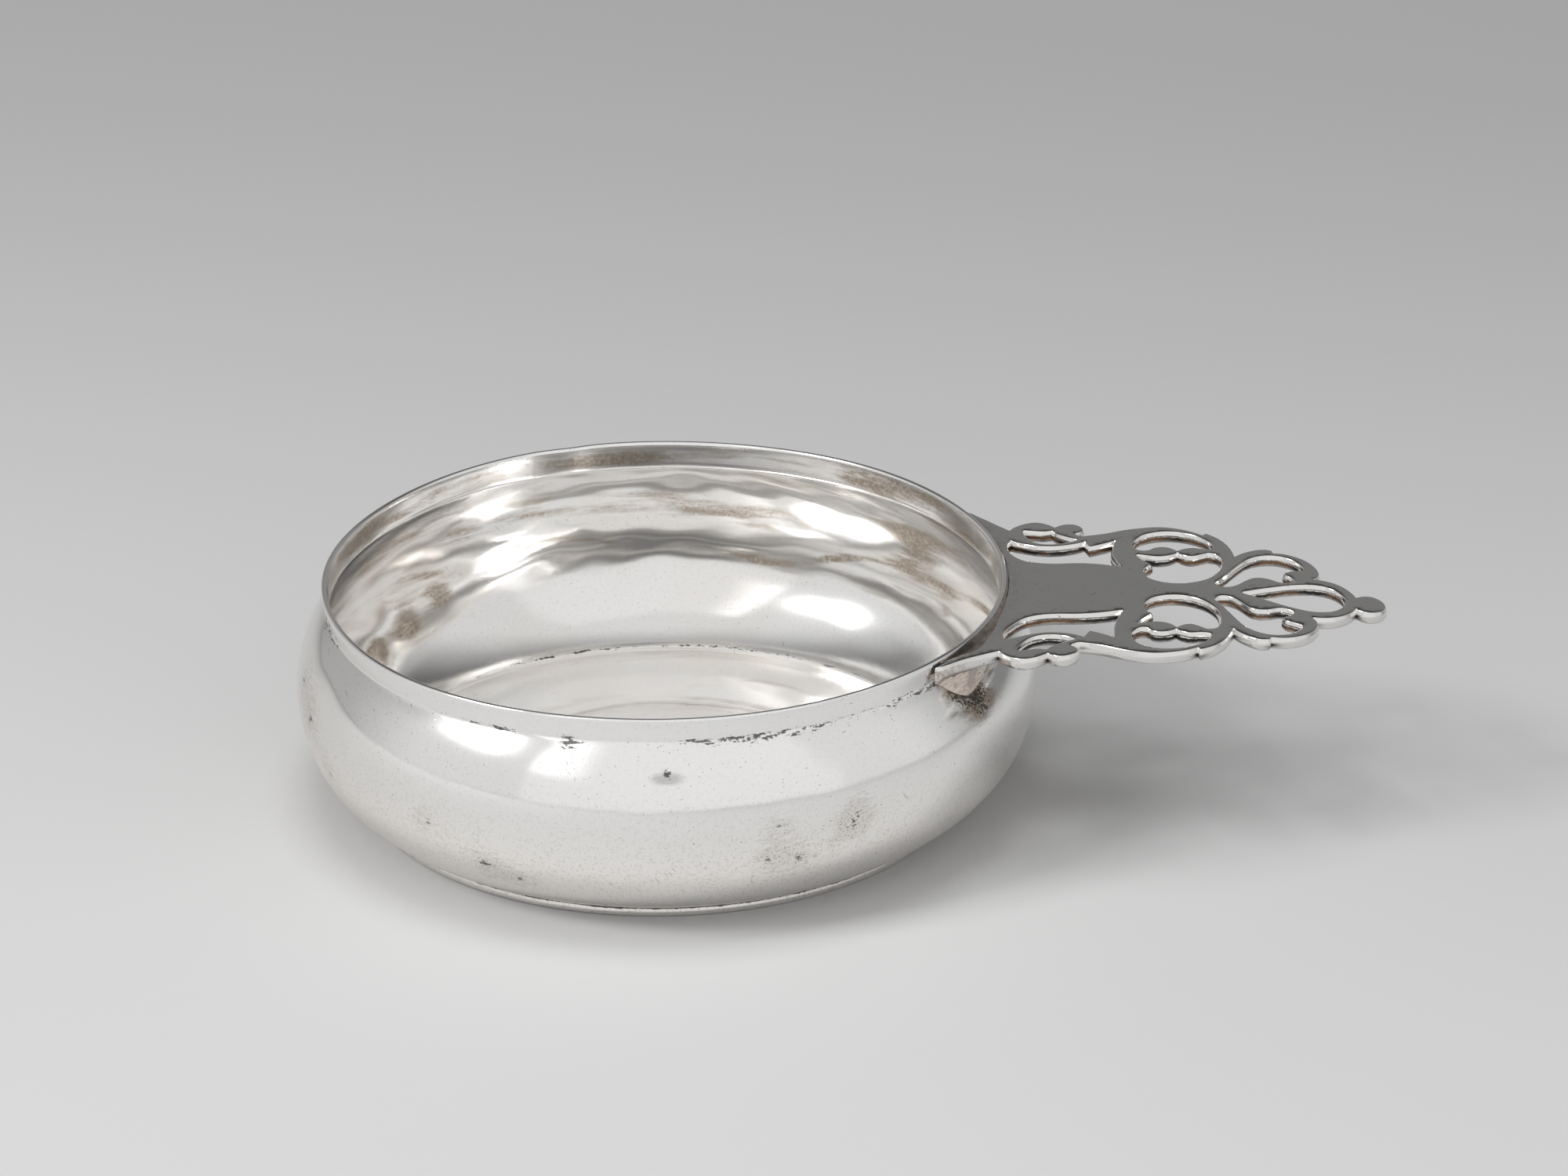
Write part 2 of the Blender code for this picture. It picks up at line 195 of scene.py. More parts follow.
# Unevenness of the raising, in millimetres: long courses inside, a planished outside, a few knocks.
# A knock gives degrees round from the handle, height, 1 if it is inside, width, and depth below zero.
LONG_COURSES, SHORT_COURSES, COURSE_RIDGE = 0.060, 0.026, 0.06
PLANISHED_WAVES, PLANISHED_FACETS = 0.022, 0.005
FLOOR_CREASE, FLOOR_RIDGE, FLOOR_RIDGE_RADIUS = 0.10, 0.05, 46.0
KNOCKS = (
    (-82.5, 35.0, 0, 2.3, -0.16), (-86.0, 34.0, 0, 8.0, -0.14), (-150.0, 31.0, 0, 7.0, -0.30),
    (-99.0, 36.5, 0, 6.0, -0.12), (-57.0, 35.0, 0, 6.0, -0.16), (-118.0, 20.0, 0, 9.0, -0.12),
    (110.8, 24.3, 1, 2.2, -0.12), (147.0, 14.5, 1, 2.2, 0.14), (156.0, 11.5, 1, 2.2, 0.14),
    (139.5, 17.0, 1, 2.0, 0.10), (151.0, 20.0, 1, 3.5, -0.12), (62.0, 15.0, 1, 9.0, -0.20),
    (95.0, 12.0, 1, 8.0, 0.12))
draws = np.random.default_rng(11)
wall_height = step_up(level, 2.0, 8.0) * (1 - step_up(level, 36.0, 41.0)) * step_up(radius, 40.0, 52.0)
hollow = inside * (wall_height + 0.35 * (radius < BASE_RADIUS - 3) * step_up(radius, 6.0, 20.0))
hollow = hollow * (0.55 + 0.45 * step_up(level, 13.0, 21.0))
dents = LONG_COURSES * hollow * courses(turn, run, draws, 26, (2, 12), (9.0, 22.0))
dents += SHORT_COURSES * hollow * courses(turn, run, draws, 40, (8, 36), (6.0, 12.0))
wave = 20.5 + 2.0 * np.sin(3 * turn + 0.4) + 1.3 * np.sin(7 * turn + 1.0) + 0.7 * np.sin(13 * turn)
dents += COURSE_RIDGE * inside * bump(level, wave, 1.2)
dents += PLANISHED_WAVES * outside * wall_height * courses(turn, run, draws, 20, (2, 9), (18.0, 60.0))
dents += PLANISHED_FACETS * outside * wall_height * courses(turn, run, draws, 30, (12, 50), (8.0, 16.0))
for degrees, height, on_inside, width, depth in KNOCKS:
    dents += depth * spot(degrees, height, on_inside, width)
floor_rings = FLOOR_RIDGE * bump(radius, FLOOR_RIDGE_RADIUS, 1.5)
floor_rings = floor_rings - FLOOR_CREASE * bump(radius, DOME_RADIUS, 0.7)
dents = dents + inside * (level < DOME_RISE + WALL + 1) * floor_rings

# The rim is a little out of true where the handle doesn't hold it, and has a dent on the far side. The
# belly stands slightly towards the handle, and the base ring slightly away from it and to the back.
BELLY_LEAN, BASE_BACK, BASE_AWAY = 0.25, 0.5, 0.7
RIM_DENT, RIM_DENT_TURN = 0.45, 114.4
free = 1 - np.exp(-(from_handle / 0.7) ** 2)
upright = step_up(level, 3.0, 20.0)
grow = free * upright * (0.30 * np.cos(2 * turn - 2.2) + 0.18 * np.cos(3 * turn + 0.7))
flank = np.sin(math.pi * np.clip(level / RIM_LEVEL, 0, 1)) * (1 - step_up(level, 29.0, 38.0))
grow = grow + BELLY_LEAN * flank * np.cos(turn)
grow = grow + (BASE_BACK * np.sin(turn) - BASE_AWAY * np.cos(turn)) * (1 - step_up(level, 1.0, 15.0))
grow = grow - RIM_DENT * bump(angle_from(turn, RIM_DENT_TURN), 0.0, 0.07) * step_up(level, 35.0, 42.0)
lift = step_up(level, 28.0, 44.0) * free * (0.20 * np.cos(2 * turn + 0.6) + 0.12 * np.cos(5 * turn + 1.9))

bowl_r = radius + dents * facing[:, :1] + grow * step_up(radius, 20.0, 55.0)
bowl_z = level + dents * facing[:, 1:] + lift
bowl_z = np.where((outside > 0) & (level < 0.02), level, bowl_z)


def revolved(name, radii, heights):
    """Closed surface: each row is a ring about the axis, x and y being radius times cosine and sine."""
    rows, steps = radii.shape
    points = np.stack((AXIS_X + radii * np.cos(turn), radii * np.sin(turn), heights + 0 * turn), axis=-1)
    middle_top, middle_low = points[0].mean(axis=0), points[-1].mean(axis=0)
    points = np.vstack((points[1:-1].reshape(-1, 3), middle_top, middle_low)) * MM
    ring = np.arange((rows - 2) * steps).reshape(rows - 2, steps)
    after = np.roll(ring, -1, axis=1)
    quads = np.stack((ring[:-1], ring[1:], after[1:], after[:-1]), axis=-1).reshape(-1, 4)
    first = np.full(steps, len(points) - 2)
    fans = np.vstack((np.column_stack((first, ring[0], after[0])),
                      np.column_stack((first + 1, after[-1], ring[-1]))))
    mesh = bpy.data.meshes.new(name)
    mesh.from_pydata(points.tolist(), [], quads.tolist() + fans.tolist())
    return mesh


def finished(name, mesh, node):
    """A smooth-shaded piece at the origin that rides on the part and stands for one of its nodes."""
    mesh.validate()
    mesh.polygons.foreach_set("use_smooth", np.ones(len(mesh.polygons), bool))
    piece = bpy.data.objects.new(name, mesh)
    bpy.context.scene.collection.objects.link(piece)
    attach(piece, "root")
    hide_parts(node)
    return piece


def mark(mesh, name, values):
    """Write one number for each point of a mesh, for its finish to read."""
    layer = mesh.attributes.new(name, "FLOAT", "POINT")
    layer.data.foreach_set("value", np.ascontiguousarray(values, np.float32).ravel())


def mark_rings(mesh, name, grid):
    """Marks on a revolved surface, whose first and last rows are single points."""
    grid = np.broadcast_to(grid, bowl_r.shape)
    mark(mesh, name, np.concatenate((grid[1:-1].ravel(), (grid[0].mean(), grid[-1].mean()))))


bowl_mesh = revolved("bowl_raised", bowl_r, bowl_z)
bowl = finished("bowl_raised", bowl_mesh, "bowl")

# Where dirt lies: in the creases, round the handle's root and in a few pitted places. A pitted place gives
# degrees round from the handle, height, width and strength.
DENT_TURN, DENT_LEVEL, DENT_FROM_AXIS = -82.5, 35.0, 69.9
PITS = (
    (-54.5, 20.6, 1.7, 0.42), (-53.0, 23.4, 1.2, 0.42), (-62.6, 16.6, 1.7, 0.42),
    (-67.8, 17.6, 1.3, 0.40), (-111.5, 13.0, 1.8, 0.42), (-106.0, 11.0, 1.4, 0.38),
    (-153.5, 26.0, 2.2, 0.40), (-146.0, 18.3, 1.8, 0.36), (-121.0, 20.3, 1.6, 0.36),
    (-160.0, 30.0, 2.0, 0.38), (DENT_TURN, DENT_LEVEL, 1.0, 0.75), (-98.0, 39.0, 2.0, 0.36),
    (-110.0, 38.5, 2.4, 0.34), (-66.0, 24.0, 1.2, 0.34), (70.0, 22.0, 1.8, 0.40),
    (118.0, 15.0, 1.6, 0.40), (160.0, 27.0, 2.0, 0.38), (35.0, 12.0, 1.5, 0.36))
PIT_DEEPENING = 0.10
patchy = 0.6 + 0.4 * np.sin(5 * turn + 1.0) * np.sin(3 * turn - 0.4)
neck_dirt = outside * (0.36 * bump(level, NECK[1], 0.8) + 0.26 * bump(level, NECK[1] - 0.6, 1.8)) * patchy
bead_dirt = 0.75 * outside * bump(level, 2.05, 0.40) * (level < 5)
corner_dirt = 0.43 * inside * bump(radius, BASE_RADIUS - 1.2, 0.6) * (level < 6)
root_dirt = outside * np.exp(-(from_handle / 0.50) ** 6) * bump(level, 37.0, 4.0) * 0.5
near_root = (0.62 * spot(-25.0, 34.5, 0, 5.2) + 0.46 * spot(-29.5, 37.5, 0, 3.6)
             + 0.4 * spot(24.0, 35.0, 0, 4.0) + 0.5 * spot(-34.0, 41.0, 0, 1.3))
pits = sum((strength + PIT_DEEPENING) * spot(degrees, height, 0, width)
           for degrees, height, width, strength in PITS)
peppering = sum(strength * spot(degrees, height, 0, 2.6 * width + 1.0)
                for degrees, height, width, strength in PITS if height < DENT_LEVEL - 3)
mark_rings(bowl_mesh, "dirt", neck_dirt + bead_dirt + corner_dirt + pits)
mark_rings(bowl_mesh, "peppered", peppering)
mark_rings(bowl_mesh, "scored", near_root + 0.4 * root_dirt)

# Where the silver has browned: under the rim inside, along the hammer's courses, beside the root
lip_patches = 0.28 * bump(angle_from(turn, 157), 0, 0.25) + 0.22 * bump(angle_from(turn, 104), 0, 0.16)
lip_patches = 0.18 + lip_patches + 0.34 * bump(angle_from(turn, 38), 0, 0.42)
under_lip = inside * step_up(level, 38.5, 41.0) * (1 - step_up(level, 43.4, 44.4)) * lip_patches
wave_band = inside * (0.34 * bump(level, wave, 1.0) + 0.24 * bump(level, wave + 9.0, 5.0))
left_cluster = (0.56 * spot(147.0, 14.5, 1, 4.2) + 0.48 * spot(139.0, 16.5, 1, 4.0)
                + 0.52 * spot(156, 12.0, 1, 3.5))
right_cluster = (0.34 * spot(44.0, 18.0, 1, 4.0) + 0.22 * spot(35.0, 13.0, 1, 3.0)
                 + 0.36 * spot(52.0, 25.0, 1, 6.0))
browned = under_lip + wave_band + left_cluster + right_cluster + near_root + 0.3 * root_dirt
mark_rings(bowl_mesh, "browned", browned)
mark_rings(bowl_mesh, "hollow_side", inside + 0 * turn)
# The outside is painted greyer on its left side
mark_rings(bowl_mesh, "greyer_on_left", outside * 0.42 * bump(angle_from(turn, -172), 0, 0.75))


class Finish:
    """A value inside a material; arithmetic on it adds Math nodes, and node() adds any other node."""

    def __init__(self, tree, socket):
        self.tree = tree
        self.socket = socket

    def node(self, kind, settings, sockets, output=0):
        """Add a node of a kind: its settings first, then the numbers or links of its sockets."""
        made = self.tree.nodes.new(kind)
        for name, value in settings.items():
            setattr(made, name, value)
        for name, value in sockets.items():
            if isinstance(value, Finish):
                self.tree.links.new(value.socket, made.inputs[name])
            else:
                made.inputs[name].default_value = value
        return Finish(self.tree, made.outputs[output])

    def maths(self, operation, first, second=0.0):
        """One Math node on two values or numbers."""
        return self.node("ShaderNodeMath", {"operation": operation}, {0: first, 1: second})

    def __add__(self, other):
        return self.maths("ADD", self, other)

    def __sub__(self, other):
        return self.maths("SUBTRACT", self, other)

    def __mul__(self, other):
        return self.maths("MULTIPLY", self, other)

    def __rsub__(self, other):
        return self.maths("SUBTRACT", other, self)

    __radd__, __rmul__ = __add__, __mul__

    def most(self, other):
        """The larger of this value and another."""
        return self.maths("MAXIMUM", self, other)

    def rise(self, low, high):
        """Smooth step from 0 at low to 1 at high; falls where low is the larger."""
        return self.node("ShaderNodeMapRange", {"interpolation_type": "SMOOTHSTEP"},
                         {"Value": self, "From Min": low, "From Max": high})

    def stretched(self, scale, tilt=(0.0, 0.0, 0.0)):
        """A pattern's coordinates, turned and then stretched."""
        return self.node("ShaderNodeMapping", {"vector_type": "TEXTURE"},
                         {"Vector": self, "Rotation": tilt, "Scale": scale})

    def cloud(self, scale, detail=3.0, rough=0.55):
        """Soft noise about 0.5; the scale is how many lumps lie in one unit of length."""
        return self.node("ShaderNodeTexNoise", {},
                         {"Vector": self, "Scale": scale, "Detail": detail, "Roughness": rough})

    def grains(self, scale, output="Distance"):
        """Scattered cells: the distance to the nearest cell's heart, or a colour drawn for each cell."""
        return self.node("ShaderNodeTexVoronoi", {"feature": "F1"},
                         {"Vector": self, "Scale": scale}, output)

    def blend(self, first, second):
        """Colour between two others, by this value."""
        return self.node("ShaderNodeMix", {"data_type": "RGBA"}, {0: self, 6: first, 7: second}, 2)


def new_finish(piece, name):
    """A new finish on a piece: its shader, the piece's own coordinates and a reader of its marks."""
    material = bpy.data.materials.new(name)
    material.use_nodes = True
    tree = material.node_tree
    piece.data.materials.append(material)
    place = Finish(tree, tree.nodes.new("ShaderNodeTexCoord").outputs["Object"])

    def marked(label):
        """A mark written on the mesh, as a value."""
        return place.node("ShaderNodeAttribute", {"attribute_name": label}, {}, "Fac")

    return tree.nodes["Principled BSDF"], place, marked


def connect(shader, values):
    """Link finished values to the shader's sockets, or set them where they are plain numbers."""
    for name, value in values.items():
        if isinstance(value, Finish):
            value.tree.links.new(value.socket, shader.inputs[name])
        else:
            shader.inputs[name].default_value = value


def scratches(place, scale, share):
    """Short dashes in four directions: the hearts of long thin grains, of which a share is kept."""
    lines = None
    for tilt in ((0.3, 0.2, 0.5), (1.1, -0.5, 1.6), (-0.7, 0.9, 2.7), (0.1, 1.4, -0.6)):
        drawn = place.stretched((1.0, 11.0, 1.0), tilt)
        hearts = drawn.grains(scale).rise(0.13, 0.07)
        kept = hearts * drawn.grains(scale, "Color").rise(1 - share, 1.03 - share)
        lines = kept if lines is None else lines.most(kept)
    return lines


CLEAN_SILVER = (0.955, 0.950, 0.942, 1)
WARM_SILVER = (0.905, 0.860, 0.805, 1)
DULL_SILVER = (0.58, 0.53, 0.48, 1)
BROWN_TARNISH = (0.45, 0.378, 0.302, 1)
SCRATCH_AND_DENT_SHADE_GREY = (0.24, 0.23, 0.22, 1)
BLACK_DIRT = (0.035, 0.030, 0.026, 1)
DENT_SHADE_TILT = 50.0
DENT_SHADE_SIZE = (3.9 * MM, 1.6 * MM, 3.0 * MM)
RELIEF_DEPTH = 0.00005

shader, place, marked = new_finish(bowl, "worn_raised_silver")
dirt, scored, brown, hollow_side, greyer_on_left, peppered = (
    marked(name) for name in ("dirt", "scored", "browned", "hollow_side", "greyer_on_left", "peppered"))
low_down = place.node("ShaderNodeSeparateXYZ", {}, {0: place}, "Z").rise(0.034, 0.012) * (1 - hollow_side)

# Patterns of the worn skin: smears and streaks run round the bowl, and strokes run steeply across them
fine_cloud = place.cloud(1500.0, 4.0, 0.65)
smears = place.stretched((1.0, 1.0, 0.18)).cloud(330.0, 5.0, 0.7)
strokes = place.stretched((0.12, 0.12, 1.0), (0.5, 0.3, 0.0)).cloud(260.0, 4.0, 0.6)
streaks = place.stretched((1.0, 1.0, 0.16)).cloud(48.0, 5.0, 0.62)
worn_skin = place.cloud(40.0, 3.0).rise(0.30, 0.56) * (1 - 0.6 * hollow_side)
specks = place.grains(650.0).rise(0.11, 0.05) * place.grains(650.0, "Color").rise(0.76, 0.84)
specks = specks.most(place.grains(1200.0).rise(0.16, 0.07) * place.grains(1200.0, "Color").rise(0.66, 0.90))
specks = specks * (0.25 + 0.75 * worn_skin)
hairlines = scratches(place, 1000.0, 0.30) * (0.3 + 0.7 * worn_skin)

# Painted shade of the small dent on the near shoulder: a dark oval that lies on the wall, with a ragged
# border
dent_shade_place = (DENT_FROM_AXIS * math.cos(math.radians(DENT_TURN)) + AXIS_X,
                DENT_FROM_AXIS * math.sin(math.radians(DENT_TURN)), DENT_LEVEL)
from_dent_shade = place.node("ShaderNodeMapping", {"vector_type": "TEXTURE"},
                         {"Vector": place, "Location": [part * MM for part in dent_shade_place],
                          "Rotation": (math.radians(DENT_SHADE_TILT), 0.0, math.radians(90 + DENT_TURN)),
                          "Scale": DENT_SHADE_SIZE})
from_dent_shade = from_dent_shade.node("ShaderNodeVectorMath", {"operation": "LENGTH"}, {0: from_dent_shade}, "Value")
from_dent_shade = from_dent_shade + (smears - 0.5) * 0.5
dent_shade = from_dent_shade.rise(1.10, 0.60) * 0.42 + from_dent_shade.rise(0.60, 0.15) * 0.38

# Black dirt, pepper and brown tarnish: each is a mark, roughened by a pattern where it lies and then cut
# off at a level
mottle = (fine_cloud - 0.5) * 0.9 + (smears - 0.5) * 1.6
raking = (strokes - 0.5) * 2.0 + (fine_cloud - 0.5) * 0.2
black = (dirt + mottle * dirt.rise(0.05, 0.35)).rise(0.43, 0.55) * 0.85
black = black.most((scored + raking * scored.rise(0.05, 0.3)).rise(0.46, 0.68) * 0.9)
pepper = (peppered + (smears - 0.5) * 1.2 * peppered.rise(0.02, 0.2)).rise(0.20, 0.50)
dots = place.grains(2300.0).rise(0.36, 0.18) * place.grains(2300.0, "Color").rise(0.35, 0.60)
specks = specks.most(0.8 * pepper * dots)
black = black.most(specks * 0.75)
browning = (brown + (streaks - 0.5) * 1.7 * brown.rise(0.02, 0.30)).rise(0.14, 0.52)
browning = browning * (0.6 + 0.4 * fine_cloud.rise(0.35, 0.58))

# The silver under a warm film and a fine grain, with the tarnish, the scratches, the dent's painted shade
# and the dirt over it
grain = place.cloud(1700.0, 4.0, 0.75).rise(0.50, 0.66) * (0.14 + 0.46 * low_down)
film = place.cloud(38.0, 3.0).rise(0.35, 0.75) * (0.10 + 0.35 * hollow_side) + 0.4 * low_down
colour = film.blend(CLEAN_SILVER, WARM_SILVER)
# Duller grey from the grain and the pepper, and the outside painted greyer on its left side
colour = (greyer_on_left + grain + 0.30 * pepper).blend(colour, DULL_SILVER)
colour = browning.blend(colour, BROWN_TARNISH)
colour = (dent_shade + 0.6 * hairlines).blend(colour, SCRATCH_AND_DENT_SHADE_GREY)
colour = black.blend(colour, BLACK_DIRT)
gloss = 0.08 + 0.03 * hollow_side + 0.14 * low_down + 0.05 * worn_skin + 0.14 * browning + 0.15 * black
relief = place.cloud(320.0, 3.0) * 0.15 - hairlines * 0.3 - black * 0.15
normal = relief.node("ShaderNodeBump", {}, {"Strength": 0.3, "Distance": RELIEF_DEPTH, "Height": relief})
connect(shader, {"Base Color": colour, "Metallic": 0.92 - 0.1 * black, "Roughness": gloss,
                 "Normal": normal})


# Handle
# A flat plate of silver, cast in one piece, filed, and soldered to the rim at its root: scrolls and leaves
# round ten piercings, a hanging eye and a ball at the tip. Its edges are worn round, and tarnish stays on
# the walls of the piercings; their lower parts, the nooks and the underside are also painted dark as shade.

handle_high = np.array(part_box("handle")[1]) / MM
PLATE_TOP = handle_high[2]
PLATE = 2.5
ROOT_LEVEL = NECK[1]
ROOT_TAPER = 6.5
EDGE = 0.30
STEP = 0.36
EDGE_ANGLES = np.radians((0.0, 22.0, 45.0, 68.0, 90.0))
BOW = 1.5
DROOP = 0.6
HEEL = 0.8
PILLOW = 0.06
WALL_ROWS = 6
BULGE = 0.26
GRID = 1.1
GRID_BORDER = 0.35


def top_loops(node):
    """Closed outlines of a node's flat top: the sides that only one top triangle has, in order."""
    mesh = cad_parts[node].data
    points = np.empty(len(mesh.vertices) * 3, np.float32)
    mesh.vertices.foreach_get("co", points)
    points = points.reshape(-1, 3) / MM
    corners = np.empty(len(mesh.polygons) * 3, np.int32)
    mesh.polygons.foreach_get("vertices", corners)
    spots, same = np.unique(np.round(points, 3), axis=0, return_inverse=True)
    faces = same.ravel()[corners.reshape(-1, 3)]
    faces = faces[(np.abs(spots[faces, 2] - PLATE_TOP) < 0.01).all(axis=1)]
    sides = np.vstack((faces[:, [0, 1]], faces[:, [1, 2]], faces[:, [2, 0]]))
    both = {tuple(side) for side in sides.tolist()}
    following = {a: b for a, b in both if (b, a) not in both}
    loops = []
    while following:
        start, point = following.popitem()
        loop = [start]
        while point != start:
            loop.append(point)
            point = following.pop(point)
        loops.append(spots[loop, :2])
    return loops


def rounded_loop(loop, sharp=48.0):
    """The loop in even short steps: cubic pieces through its points, broken at its sharp corners."""
    ahead = np.roll(loop, -1, axis=0) - loop
    length = np.linalg.norm(ahead, axis=1)
    before = np.roll(ahead, 1, axis=0)
    cross = before[:, 0] * ahead[:, 1] - before[:, 1] * ahead[:, 0]
    bend = np.degrees(np.abs(np.arctan2(cross, (before * ahead).sum(axis=1))))
    behind = np.roll(length, 1)
    slope = (before / behind[:, None] * length[:, None] + ahead / length[:, None] * behind[:, None])
    slope /= (length + behind)[:, None]
    leaving = np.where(bend[:, None] > sharp, ahead / length[:, None], slope)
    arriving = np.where(bend[:, None] > sharp, before / behind[:, None], slope)
    pieces = np.maximum(1, np.round(length / STEP)).astype(int)
    owner = np.repeat(np.arange(len(loop)), pieces)
    first = np.repeat(np.cumsum(pieces) - pieces, pieces)
    t = ((np.arange(len(owner)) - first) / pieces[owner])[:, None]
    end = np.roll(np.arange(len(loop)), -1)[owner]
    span = length[owner][:, None]
    return (loop[owner] * (1 + 2 * t) * (1 - t) ** 2 + loop[end] * t * t * (3 - 2 * t)
            + span * (leaving[owner] * t * (1 - t) ** 2 - arriving[end] * t * t * (1 - t)))


def clearance(points, walls, block_size=1500):
    """Distance from each point to the nearest wall point, by the least sum of squares, in blocks."""
    def nearest(block):
        return np.sqrt(((block[:, None] - walls) ** 2).sum(axis=2).min(axis=1))

    blocks = np.array_split(points, max(1, len(points) // block_size))
    return np.concatenate([nearest(block) for block in blocks])


def within(points, starts, ends):
    """True where a ray along x from a point crosses the outlines an odd number of times."""
    low, high = starts[None, :, 1], ends[None, :, 1]
    y = points[:, 1:2]
    spans = (low > y) != (high > y)
    rise = np.where(high == low, 1.0, high - low)
    crossing = starts[None, :, 0] + (y - low) / rise * (ends - starts)[None, :, 0]
    return (spans & (crossing > points[:, :1])).sum(axis=1) % 2 == 1


# The solid's own outlines, smoothed; the outer one is the longest and comes last
loops = [rounded_loop(loop) for loop in top_loops("handle")]
loops.sort(key=lambda loop: np.ptp(loop[:, 0]))
rim_points = np.vstack(loops)
sizes = np.array([len(loop) for loop in loops])
starts = np.cumsum(sizes) - sizes
next_point = np.arange(len(rim_points)) + 1
next_point[starts + sizes - 1] = starts
inward = np.vstack([left_of(np.vstack((loop[-1:], loop, loop[:1])))[1:-1] for loop in loops])

# Rows of points on the rounded edges, a grid of points on the flat, and triangles through them all
rows, tilts = [], []
for tilt in EDGE_ANGLES[1:]:
    depth = EDGE * (1 - math.cos(tilt))
    shifted = rim_points + depth * inward
    clear = clearance(shifted, rim_points) > 0.96 * depth
    shifted = shifted[clear & within(shifted, rim_points, rim_points[next_point])]
    rows.append(shifted)
    tilts.append(np.full(len(shifted), tilt))
span = [np.arange(rim_points[:, axis].min(), rim_points[:, axis].max(), GRID) for axis in (0, 1)]
grid = np.stack(np.meshgrid(*span), axis=-1)
grid[::2, :, 0] += GRID / 2
grid = grid.reshape(-1, 2)
grid = grid[within(grid, rim_points, rim_points[next_point])]
grid = grid[clearance(grid, rim_points) > EDGE + GRID_BORDER]
flat_points = np.vstack((rim_points, *rows, grid))
tilts = np.concatenate((np.zeros(len(rim_points)), *tilts, np.full(len(grid), math.pi / 2)))
sides = np.column_stack((np.arange(len(rim_points)), next_point)).tolist()
made = delaunay_2d_cdt([Vector(point) for point in flat_points.tolist()], sides, [], 0, 1e-5)
flat_points = np.array(made[0])
tilts = tilts[[first[0] for first in made[3]]]
faces = np.array(made[2])
rim_count = len(rim_points)
unsure = (faces < rim_count).all(axis=1)
middles = flat_points[faces].mean(axis=1)
keep = ~unsure
keep[unsure] = within(middles[unsure], rim_points, rim_points[next_point])
faces = faces[keep]
turned_over = np.cross(flat_points[faces[:, 1]] - flat_points[faces[:, 0]],
                       flat_points[faces[:, 2]] - flat_points[faces[:, 0]]) < 0
faces[turned_over] = faces[turned_over][:, ::-1]


def plate_levels(points, tilts, inset):
    """Heights of the plate's top and underside.

    Half a sine wave gives the bow and a fourth power the droop. The edges are quarter rounds, and the
    bevelled root thins in a straight line away from the bowl.
    """
    x, y = points[:, 0] - AXIS_X, points[:, 1]
    away = np.hypot(x, y)
    share = np.clip((x - RIM_RADIUS) / (handle_high[0] - AXIS_X - RIM_RADIUS), 0.0, 1.0)
    bowed = BOW * np.sin(math.pi * share) - DROOP * share ** 4
    uneven = 0.018 * np.sin(0.33 * x + 0.5) * np.cos(0.27 * y + 0.3) + 0.010 * np.sin(0.9 * y + 0.6 * x)
    worn = EDGE * (1 - np.sin(tilts)) + PILLOW * (1 - step_up(inset, 0.0, 1.8))
    root = np.clip(1 - (away - NECK[0]) / ROOT_TAPER, 0.0, 1.0)
    beside_rim = 1 - step_up(away, RIM_RADIUS + 0.3, RIM_RADIUS + 1.5)
    bevel = np.maximum(0.25 + 0.75 * step_up(inset, 0.0, HEEL), beside_rim)
    underside = PLATE_TOP - PLATE - root * bevel * (PLATE_TOP - PLATE - ROOT_LEVEL)
    return PLATE_TOP + bowed + uneven - worn, underside + bowed + worn


# The top, the underside and slightly swelling walls between them
top, under = plate_levels(flat_points, tilts, clearance(flat_points, rim_points))
count = len(flat_points)
rims = np.arange(rim_count)
share = np.linspace(0.0, 1.0, WALL_ROWS + 2)[1:-1][:, None]
walls = under[rims] * (1 - share) + top[rims] * share
to_edge, to_foot = np.clip((share - 0.5) / 0.5, 0, 1), np.clip((0.2 - share) / 0.2, 0, 1)
bulge = BULGE * (1 - to_edge ** 2 - 0.4 * to_foot ** 2)
bulge = bulge[:, :, None] * -inward[None]
wall_points = np.dstack((flat_points[rims][None] + bulge, walls)).reshape(-1, 3)
top_points, under_points = (np.column_stack((flat_points, heights)) for heights in (top, under))
points = np.vstack((top_points, under_points, wall_points))
ladder = np.vstack((rims + count, *(2 * count + rim_count * row + rims for row in range(WALL_ROWS)), rims))
lower, upper = ladder[:-1], ladder[1:]
wall_faces = np.stack((lower, lower[:, next_point], upper[:, next_point], upper), axis=-1).reshape(-1, 4)
handle_mesh = bpy.data.meshes.new("handle_pierced")
handle_mesh.from_pydata((points * MM).tolist(), [],
                        faces.tolist() + (faces[:, ::-1] + count).tolist() + wall_faces.tolist())
handle = finished("handle_pierced", handle_mesh, "handle")

# Marks for the finish: how far down the wall a point lies, how deep in a piercing or a nook of the outline
# it is, which sets where tarnish and painted shade lie, and how close to the bowl
wall_share = np.concatenate((np.where(tilts < 1.2, 0.10 * np.cos(tilts), 0.0),
                             np.where(tilts < 1.2, 0.90 + 0.10 * np.sin(tilts), 1.0),
                             np.repeat(1 - share[:, 0], rim_count)))
mark(handle_mesh, "wall_share", wall_share)
outer = np.arange(rim_count) >= starts[-1]
before = np.empty_like(next_point)
before[next_point] = np.arange(rim_count)
step_in, step_out = rim_points - rim_points[before], rim_points[next_point] - rim_points
bend = np.arctan2(np.cross(step_in, step_out), (step_in * step_out).sum(axis=1))
corners = rim_points[outer & (bend < -0.5)]
